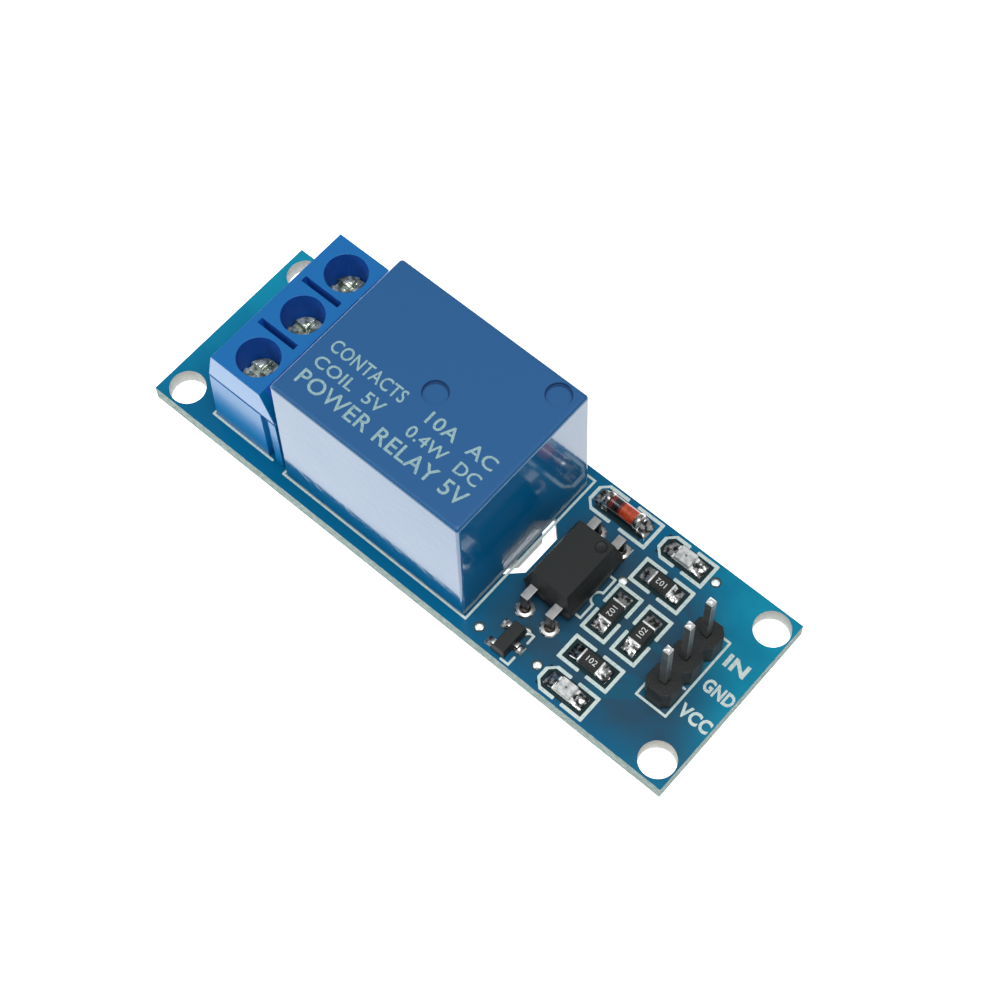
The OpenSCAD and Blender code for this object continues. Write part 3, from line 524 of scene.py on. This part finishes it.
# ---- Terminal block ----
# A blue moulded housing for three wires, glossy and hard. Each way is a square
# chamber with a round well over its screw. Its ribs and grooves key it to the
# next block in a row. It stands on the board by its three solder pins.

HOUSING_BLUE, HOUSING_DEEP = (0.010, 0.145, 0.42, 1), (0.0, 0.095, 0.29, 1)
WELL_BLUE, FLANK_BLUE = (0.0, 0.10, 0.48, 1), (0.0, 0.14, 0.36, 1)
# How far in from the ends and from the wire face the outer faces lean.
LEAN_END, LEAN_FACE = 0.9, 0.45
# Where the wells begin, and the heights between which the polish of the foot and
# then of the sloped top sets in.
WELL_FOOT, FOOT_POLISH, TOP_POLISH = 6.5, (2, 7), (8.4, 9.2)
shell, at = finish("terminal_plastic")
x, y, z = at.axes()
lo, hi = box_mm("terminal_housing")
outer = any_of([y < lo.y + LEAN_END, y > hi.y - LEAN_END, x < lo.x + LEAN_FACE])
flank = 1 - abs(at.upward()).rise(0.5, 0.9)
polish, well = outer * flank, (1 - outer) * flank * (z > WELL_FOOT)
blue = (z.rise(3, 11.5) * 0.8 + at.noise(0.4) * 0.2).tint(HOUSING_DEEP, HOUSING_BLUE)
feed(shell, {
    "Base Color": well.tint(polish.tint(blue, FLANK_BLUE), WELL_BLUE),
    "Roughness": at.noise(4, 3) * 0.1 + 0.25 + well * 0.45,
    "IOR": 1.42,
    "Coat Weight": polish * (z.rise(*TOP_POLISH) * 0.45 + z.rise(*FOOT_POLISH) * 0.15),
    "Coat Roughness": 0.12,
    "Coat IOR": 1.9,
    "Normal": (at.noise(1.2) * (1 - well)).bump(0.012),
})
fit(soften(merged("terminal_housing"), 0.09), "board", "terminal_plastic", shell, "terminal_housing")

# ---- Clamps, guards and screws ----
# In each way a nickel-plated strip is folded into a square loop, tapped at its
# top and soldered at its foot. A combination-slot screw turns in it and drives
# a springy bronze leaf down on the wire.

NICKEL, NICKEL_DARK = (0.80, 0.80, 0.77, 1), (0.38, 0.38, 0.37, 1)
BRONZE, BRONZE_DARK = (0.62, 0.42, 0.18, 1), (0.42, 0.26, 0.11, 1)
STEEL, STEEL_DARK = (0.92, 1.0, 0.84, 1), (0.16, 0.20, 0.16, 1)
# The thread's pitch, and the height where it gives way to the head.
THREAD_PITCH, THREAD_TOP = 0.5, 6.9
plating, at = finish("nickel_plating")
feed(plating, {
    "Base Color": at.noise(1.5, 3).rise(0.3, 0.7).tint(NICKEL, NICKEL_DARK),
    "Roughness": at.noise(4) * 0.2 + 0.2,
    "Metallic": 1.0,
    "Normal": at.noise(7).bump(0.015),
})
bronze, at = finish("guard_bronze")
feed(bronze, {
    "Base Color": at.noise(1.5).tint(BRONZE, BRONZE_DARK),
    "Roughness": at.noise(5) * 0.2 + 0.25,
    "Metallic": 1.0,
    "Normal": at.noise(7).bump(0.01),
})
steel, at = finish("screw_steel")
z = at.axes()[2]
turn = z * (2 * math.pi / THREAD_PITCH)
thread = turn.math("SINE", turn) * (z < THREAD_TOP)
feed(steel, {
    "Base Color": at.noise(1.6, 2).rise(0.35, 0.65).tint(STEEL, STEEL_DARK),
    "Roughness": at.noise(4) * 0.12 + 0.15,
    "Metallic": 0.65,
    "Normal": (at.noise(1.4) + thread * 0.3).bump(0.15),
})
for k in (1, 2, 3):
    paint(plating, nodes[f"terminal_clamp_{k}"])
    paint(bronze, nodes[f"wire_guard_{k}"])
    fit(soften(merged(f"clamp_screw_{k}"), 0.07), f"screw_{k}", "screw_steel", steel, f"clamp_screw_{k}")

# ---- Relay works ----
# Inside the case, a bobbin wound with enamelled copper stands on the base. Its
# iron core pulls the hinged armature, whose blade carries the moving contact
# from the closed contact to the open one. Pins go down through the base.

NYLON, NYLON_DARK = (0.72, 0.70, 0.62, 1), (0.60, 0.58, 0.50, 1)
ENAMEL_DARK, ENAMEL = (0.20, 0.05, 0.02, 1), (0.60, 0.20, 0.06, 1)
# How many radians of ripple the winding has to the millimetre.
WINDING = 60
IRON, IRON_DARK = (0.46, 0.45, 0.43, 1), (0.26, 0.25, 0.24, 1)
BRASS, BRASS_DARK = (0.72, 0.52, 0.25, 1), (0.52, 0.35, 0.15, 1)
TINNED_SHADE, TINNED = (0.045, 0.04, 0.037, 1), (0.56, 0.56, 0.54, 1)
RESIN, RESIN_DARK = (0.02, 0.10, 0.34, 1), (0.01, 0.05, 0.20, 1)
nylon, at = finish("bobbin_nylon")
feed(nylon, {
    "Base Color": at.noise(0.8, 3).tint(NYLON, NYLON_DARK),
    "Roughness": at.noise(4) * 0.1 + 0.4,
    "Normal": at.noise(3).bump(0.01),
})
copper, at = finish("enamelled_copper")
turns = at.axes()[2] * WINDING
turns = turns.math("SINE", turns)
feed(copper, {
    "Base Color": (turns * 0.5 + 0.5).tint(ENAMEL_DARK, ENAMEL),
    "Roughness": at.noise(3) * 0.1 + 0.22,
    "Metallic": 0.7,
    "Normal": turns.bump(0.03),
})
iron, at = finish("soft_iron")
feed(iron, {
    "Base Color": at.noise(2, 4).rise(0.3, 0.7).tint(IRON, IRON_DARK),
    "Roughness": at.noise(5) * 0.2 + 0.3,
    "Metallic": 1.0,
    "Normal": at.noise(6).bump(0.02),
})
brass, at = finish("contact_brass")
feed(brass, {
    "Base Color": at.noise(2, 3).tint(BRASS, BRASS_DARK),
    "Roughness": at.noise(5) * 0.2 + 0.2,
    "Metallic": 1.0,
    "Normal": at.noise(6).bump(0.012),
})
tinned, at = finish("tinned_lead")
# Faces turned away from the top are painted dark, as painted shade; the noise is the tin's own mottling.
shade_by_facing = at.upward().rise(0.5, 0.95)
feed(tinned, {
    "Base Color": (shade_by_facing * 0.75 + at.noise(2.5, 3) * 0.25).tint(TINNED_SHADE, TINNED),
    "Roughness": at.noise(3) * 0.15 + 0.3,
    "Metallic": 1.0,
    "Normal": at.noise(3).bump(0.01),
})
potting, at = finish("base_resin")
feed(potting, {
    "Base Color": at.noise(0.7, 3).tint(RESIN, RESIN_DARK),
    "Roughness": at.noise(2) * 0.2 + 0.25,
    "Normal": at.noise(0.8).bump(0.06),
})
paint(potting, nodes["relay_base"])
paint(nylon, nodes["coil_bobbin"])
paint(copper, nodes["coil_winding"])
paint(iron, nodes["coil_core"], nodes["yoke"], nodes["armature"])
paint(brass, nodes["contact_blade"], nodes["open_contact"], nodes["closed_contact"])
paint(tinned, nodes["coil_pins"], nodes["moving_contact"])

# ---- Relay case ----
# A blue moulded box with crisp corners, sealed to its base. Its top is matt
# from the mould and its sides are polished. Two round ejector marks and three
# rows of pale pad-printed lettering are on the top.

CASE_TOP, CASE_SIDE_SHADE = (0.016, 0.098, 0.262, 1), (0.0, 0.08, 0.20, 1)
MARK_R = 1.05
MARK_SHADE = (0.004, 0.04, 0.13, 1)
# The shade lies on the far side of each mark's rim, so its inner ring is shifted.
MARK_SHIFT = Vector((0.09, -0.16, 0))
# How far the two marks stand from the middle and from the corner of the top.
MARK_OFF_MIDDLE, MARK_OFF_CORNER = Vector((0.5, 0.2, 0)), Vector((1.95, 1.6, 0))
case, at = finish("relay_plastic")
z = at.axes()[2]
top_side = at.upward().rise(0.6, 0.95)
case_lo, case_hi = box_mm("relay_case")
case_mid = (case_lo + case_hi) / 2
marks = (Vector((*case_mid.xy, case_hi.z)) + MARK_OFF_MIDDLE, case_hi - MARK_OFF_CORNER)
rims = any_of([at.away_from(mark + MARK_SHIFT).rise(MARK_R - 0.12, MARK_R)
               * (at.away_from(mark) < MARK_R + 0.05) for mark in marks])
# The polish is poorer along the foot, and the mould's own grain is on the top.
foot = (z + at.noise(0.7) * 1.2).rise(3.2, 3.9) * 0.4 + 0.6
waves = at.noise(1.4, 1) * (1 - top_side) * (0.6 - z.rise(4, 6) * 0.45)
grain = at.noise(14, 3) * top_side * 0.12
# The sides are painted a darker blue than the top, as painted shade.
feed(case, {
    "Base Color": rims.tint(top_side.tint(CASE_SIDE_SHADE, CASE_TOP), MARK_SHADE),
    "Roughness": top_side * 0.3 + 0.12 + at.noise(3) * 0.04,
    "IOR": 1.4,
    "Coat Weight": (1 - top_side) * (0.305 + at.noise(0.12) * 0.15) * foot,
    "Coat Roughness": 0.05,
    "Coat IOR": 1.8,
    "Normal": (waves + grain).bump(0.06),
})
fit(soften(merged("relay_case"), 0.03, 1), "board", "relay_plastic", case, "relay_case")

PRINT_PALE, PRINT_THIN = (0.28, 0.44, 0.45, 1), (0.16, 0.30, 0.36, 1)
PRINT_THICK, PRINT_WEIGHT = 0.02, 0.02
# Words, their middle along and across from the middle of the top, width and height.
PRINT_ROWS = (
    ("CONTACTS", -4.565, -1.73, 7.4, 1.2),
    ("10A  AC", 4.635, -1.73, 6.6, 1.2),
    ("COIL  5V", -4.965, -3.52, 6.8, 1.1),
    ("0.4W  DC", 4.535, -3.52, 7.0, 1.1),
    ("POWER RELAY 5V", -0.165, -5.33, 16.6, 1.42),
)
marking, at = finish("case_print")
feed(marking, {
    "Base Color": at.noise(6, 4).rise(0.3, 0.55).tint(PRINT_THIN, PRINT_PALE),
    "Roughness": at.noise(9) * 0.2 + 0.5,
    "Normal": at.noise(9).bump(0.01),
})
printed = []
for words, along, across, width, height in PRINT_ROWS:
    place = (case_mid.x + along, case_mid.y + across)
    printed.append(letters("row", words, place, case_hi.z, width, height, 0, PRINT_THICK, PRINT_WEIGHT))
fit(join("relay_print", printed), "board", "print", marking)

# ---- Optocoupler ----
# A charcoal epoxy body, moulded round its lead frame, so its sides draw in
# above and below the parting line. A shallow dot marks pin one. Its four tinned
# legs are wide at the shoulder and narrow through the board.

EPOXY_SIDE_SHADE, EPOXY_TOP = (0.006, 0.007, 0.007, 1), (0.017, 0.019, 0.018, 1)
EPOXY_RING = (0.002, 0.002, 0.002, 1)
# The dot's rim is dark from a little inside its radius to just outside it.
DOT_R, DOT_INSIDE, DOT_OUTSIDE = 0.5, 0.07, 0.04
# The dot's middle, in from the corner of the body.
DOT_IN = Vector((1.37, 1.15, 0))
epoxy, at = finish("charcoal_epoxy")
away = at.away_from(box_mm("optocoupler_body")[1] - DOT_IN)
ring = (away > DOT_R - DOT_INSIDE) * (away < DOT_R + DOT_OUTSIDE)
# The sides are painted darker than the top, as painted shade; the noise is the epoxy's own mottling.
body = (at.upward().rise(0.5, 0.95) * 0.8 + at.noise(5, 4) * 0.2).tint(EPOXY_SIDE_SHADE, EPOXY_TOP)
feed(epoxy, {
    "Base Color": (ring * 0.8).tint(body, EPOXY_RING),
    "Roughness": at.noise(7, 3) * 0.15 + 0.42,
    "IOR": 1.4,
    "Normal": at.noise(9, 4).bump(0.02),
})
fit(soften(merged("optocoupler_body"), 0.05), "board", "dark_plastic", epoxy, "optocoupler_body")

COLLAR_BRIGHT, COLLAR_SHADE = (0.74, 0.76, 0.73, 1), (0.07, 0.055, 0.05, 1)
# The solder ring round each leg: radii, and heights above the board.
COLLAR = ((0.72, 0.04), (0.66, 0.09), (0.5, 0.1), (0.4, 0.16),
          (0.3, 0.28), (0.05, 0.28), (0.05, 0.04), (0.72, 0.04))
# From a leg's outer side to its middle.
LEG_HALF = 0.15
ring_tin, at = finish("lead_collar")
# The fillet is painted dark from just above the pad up the leg, as painted shade under the leg's
# shoulder.
fillet_shade = at.axes()[2].rise(top + 0.1, top + 0.15)
feed(ring_tin, {
    "Base Color": (fillet_shade + at.noise(2.5) * 0.3).tint(COLLAR_BRIGHT, COLLAR_SHADE),
    "Roughness": at.noise(3) * 0.2 + 0.3,
    "Metallic": 0.9,
    "Normal": at.noise(2.5).bump(0.02),
})
collars = []
for k in (1, 2, 3, 4):
    lead = f"optocoupler_lead_{k}"
    fit(soften(merged(lead), 0.06), "board", "pin_metal", tinned, lead)
    lo, hi = box_mm(lead)
    row = hi.y - LEG_HALF if lo.y > 0 else lo.y + LEG_HALF
    rings = [(radius, top + height) for radius, height in COLLAR]
    collars.append(ring_stack("collar", (lo.x + hi.x) / 2, row, rings, 32))
collars = join("lead_collars", collars)
smooth(60)
fit(collars, "board", "solder", ring_tin)

# ---- Transistor ----
# A small black moulded body on three bent tinned feet, two on one side and one
# on the other, each soldered flat to its pad.

# Its body wears the same epoxy, its sides painted darker as painted shade.
fit(soften(merged("transistor_body"), 0.05), "board", "dark_plastic", epoxy, "transistor_body")
fit(soften(merged("transistor_leads"), 0.03), "board", "pin_metal", tinned, "transistor_leads")

# ---- Diode ----
# A glass tube fused to two plated caps, soldered down by the caps. Orange
# lacquer shows through the glass, and a black band marks the cathode.

WINE, ORANGE, ORANGE_DARK = (0.16, 0.012, 0.008, 1), (0.60, 0.075, 0.018, 1), (0.35, 0.035, 0.01, 1)
BAND = (0.008, 0.006, 0.006, 1)
# From the glass's left end: the band's two sides, and the end of the wine red.
BAND_FROM, BAND_TO, WINE_TO = 0.35, 0.95, 1.15
glass, at = finish("lacquered_glass")
x = at.axes()[0]
lo, hi = box_mm("diode_glass")
band = (x > lo.x + BAND_FROM) * (x < lo.x + BAND_TO)
orange = at.noise(2.2, 3).rise(0.3, 0.7).tint(ORANGE, ORANGE_DARK)
feed(glass, {
    "Base Color": band.tint((x < lo.x + WINE_TO).tint(orange, WINE), BAND),
    "Roughness": at.noise(3) * 0.06 + 0.2,
    "Coat Weight": 1.0,
    "Coat Roughness": 0.03,
    "Normal": at.noise(1.5).bump(0.03),
})
fit(soften(merged("diode_glass"), 0.02, 1), "board", "diode_glass", glass, "diode_glass")
CAP_STAIN, CAP_BRIGHT = (0.11, 0.075, 0.055, 1), (0.86, 0.85, 0.82, 1)
stained, at = finish("flux_stained_cap")
# The right cap is the cleaner one.
clean = (at.axes()[0] > hi.x) * 0.5
feed(stained, {
    "Base Color": (at.noise(1.6, 3).rise(0.42, 0.62) * 0.8 + clean).tint(CAP_STAIN, CAP_BRIGHT),
    "Roughness": at.noise(3) * 0.15 + 0.2,
    "Metallic": 1.0,
    "Normal": at.noise(2).bump(0.02),
})
for k in (1, 2):
    fit(soften(merged(f"diode_cap_{k}"), 0.12, 3), "board", "pin_metal", stained, f"diode_cap_{k}")

# ---- Signal lamps ----
# Two chip lamps. On a thin white carrier with a plated half-round notch at each
# end is a clear moulded lens. A dark speck under it is the light source.

LAMPS = ("power_lamp", "relay_lamp")
LENS_DARK, LENS_PALE = (0.40, 0.42, 0.41, 1), (0.74, 0.75, 0.74, 1)
SPECK, SPECK_R = (0.12, 0.12, 0.12, 1), 0.1
CARRIER, CARRIER_PALE = (0.78, 0.78, 0.74, 1), (0.88, 0.88, 0.86, 1)


def top_middle(node):
    """The middle of a CAD node's top, in mm."""
    lo, hi = box_mm(node)
    return Vector(((lo.x + hi.x) / 2, (lo.y + hi.y) / 2, hi.z))


lens, at = finish("lamp_lens")
specks = any_of([at.away_from(top_middle(lamp + "_lens")) < SPECK_R for lamp in LAMPS])
cloudy = at.noise(2.5, 3).rise(0.3, 0.7).tint(LENS_DARK, LENS_PALE)
feed(lens, {
    "Base Color": specks.tint(cloudy, SPECK),
    "Roughness": at.noise(5) * 0.1 + 0.15,
    "Coat Weight": 0.6,
    "Coat Roughness": 0.05,
    "Normal": at.noise(3).bump(0.04),
})
carrier, at = finish("lamp_carrier")
feed(carrier, {
    "Base Color": at.noise(3).tint(CARRIER, CARRIER_PALE),
    "Roughness": at.noise(6) * 0.15 + 0.3,
    "Normal": at.noise(6).bump(0.01),
})
for lamp in LAMPS:
    fit(soften(merged(lamp + "_carrier"), 0.03, 1), "board", "lamp_carrier", carrier, lamp + "_carrier")
    fit(soften(merged(lamp + "_lens"), 0.07), "board", "lamp_lens", lens, lamp + "_lens")

# ---- Resistors ----
# Four thick-film chips: a white ceramic slab glazed black on top, with a
# three-figure value printed in white, and plated caps round both ends.

CERAMIC, GLAZE = (0.10, 0.10, 0.095, 1), (0.010, 0.010, 0.010, 1)
CAP_DULL, CAP_PALE = (0.45, 0.45, 0.45, 1), (0.86, 0.86, 0.84, 1)
CODE_WHITE, CODE_PALE = (0.62, 0.63, 0.62, 1), (0.82, 0.83, 0.82, 1)
CODE_W, CODE_H, CODE_THICK = 0.92, 0.5, 0.01
black, at = finish("resistor_glaze")
feed(black, {
    "Base Color": (at.upward() > 0.7).tint(CERAMIC, GLAZE),
    "Roughness": at.noise(6) * 0.15 + 0.3,
    "Normal": at.noise(6).bump(0.012),
})
caps, at = finish("chip_plating")
feed(caps, {
    "Base Color": at.noise(2.5, 3).rise(0.25, 0.5).tint(CAP_DULL, CAP_PALE),
    "Roughness": at.noise(6) * 0.2 + 0.35,
    "Metallic": 0.3,
    "Normal": at.noise(4).bump(0.02),
})
codes = []
for k, turn in ((1, 180), (2, -90), (3, 90), (4, 0)):
    chip, ends = f"resistor_{k}", f"resistor_ends_{k}"
    fit(soften(merged(chip), 0.03, 1), "board", "resistor_black", black, chip)
    fit(soften(merged(ends), 0.05), "board", "chip_plating", caps, ends)
    place = top_middle(chip)
    codes.append(letters("code", "102", place.xy, place.z, CODE_W, CODE_H, turn, CODE_THICK))
white, at = finish("code_white")
feed(white, {
    "Base Color": at.noise(9, 3).tint(CODE_WHITE, CODE_PALE),
    "Roughness": at.noise(9) * 0.2 + 0.4,
})
fit(join("resistor_codes", codes), "board", "print", white)

# ---- Control header ----
# Three square brass pins, tin-plated, pressed through a black moulded strip
# that has a notch between its ways. The strip sits on the board and the pins
# are soldered below it.

STRIP_BLACK, STRIP_GREY = (0.005, 0.006, 0.006, 1), (0.014, 0.015, 0.015, 1)
PIN_SHADE, PIN_BRIGHT = (0.035, 0.04, 0.04, 1), (0.95, 0.95, 0.94, 1)
strip, at = finish("header_plastic")
feed(strip, {
    "Base Color": at.noise(4, 3).tint(STRIP_BLACK, STRIP_GREY),
    "IOR": 1.4,
    "Roughness": at.noise(6, 3) * 0.2 + 0.35,
    "Normal": at.noise(7, 3).bump(0.02),
})
fit(soften(merged("header_strip"), 0.06), "board", "dark_plastic", strip, "header_strip")
pin_tin, at = finish("pin_plating")
# The pins' sides are painted dark and their tops bright, as painted shade.
shade_by_facing = at.upward().rise(0.3, 0.9)
feed(pin_tin, {
    "Base Color": (shade_by_facing * 0.85 + at.noise(1.2, 3) * 0.15).tint(PIN_SHADE, PIN_BRIGHT),
    "Roughness": at.noise(3) * 0.15 + 0.25,
    "Metallic": 0.7,
})
for k in (1, 2, 3):
    fit(soften(merged(f"header_pin_{k}"), 0.05), "board", "pin_metal", pin_tin, f"header_pin_{k}")

# ---- Studio ----
# A wide pale table under the board, soft light from large panels and an even
# sky, and the camera at the place from which the board is seen.

TABLE, TABLE_PALE = (0.90, 0.90, 0.90, 1), (0.92, 0.92, 0.92, 1)
SKY, SKY_STRENGTH = (0.92, 0.96, 1, 1), 0.3
table, at = finish("pale_table")
feed(table, {
    "Base Color": at.noise(0.02).tint(TABLE, TABLE_PALE),
    "Roughness": 0.9,
    "Emission Color": (1, 1, 1, 1),
    "Emission Strength": 1.1,
})
bpy.ops.object.select_all(action="DESELECT")
bpy.ops.mesh.primitive_plane_add(size=3, location=(0, 0, cad_box[0].z - 0.02 * MM))
floor = bpy.context.object
floor.name = "table_top"
bpy.ops.object.transform_apply(location=True, rotation=True, scale=True)
paint(table, floor)

world = bpy.data.worlds.new("studio")
bpy.context.scene.world = world
world.use_nodes = True
sky = world.node_tree.nodes["Background"]
plug(sky.inputs["Color"], SKY)
plug(sky.inputs["Strength"], SKY_STRENGTH)


def towards(azimuth, elevation):
    """The way from the board's middle to a place round it, in degrees."""
    a, e = math.radians(azimuth), math.radians(elevation)
    return Vector((math.sin(a) * math.cos(e), -math.cos(a) * math.cos(e), math.sin(e)))


def panel(name, azimuth, elevation, distance, size, watts):
    """A square soft light that faces the board's middle."""
    back = towards(azimuth, elevation)
    lamp = bpy.data.lights.new(name, "AREA")
    lamp.size, lamp.energy = size, watts
    held = bpy.data.objects.new(name, lamp)
    held.location = back * distance
    held.rotation_euler = back.to_track_quat("Z", "Y").to_euler()
    bpy.context.scene.collection.objects.link(held)


panel("overhead", 60, 78, 0.5, 0.25, 1.7)
panel("left", -50, 35, 0.5, 0.2, 0.7)

AZIMUTH, ELEVATION, ROLL = 42.71, 63.46, -2
DISTANCE, AIM, LENS = 0.1835, Vector((0.00092, 0.00239, 0)), 81.07
back = towards(AZIMUTH, ELEVATION)
right = Vector((0, 0, 1)).cross(back).normalized()
up = back.cross(right)
tilt = math.radians(ROLL)
side = math.cos(tilt) * right + math.sin(tilt) * up
over = math.cos(tilt) * up - math.sin(tilt) * right
eye = bpy.data.objects.new("camera", bpy.data.cameras.new("camera"))
eye.data.lens = LENS
eye.data.clip_start = 0.005
eye.matrix_world = Matrix([side, over, back]).transposed().to_4x4()
eye.location = AIM + back * DISTANCE
bpy.context.scene.collection.objects.link(eye)
bpy.context.scene.camera = eye
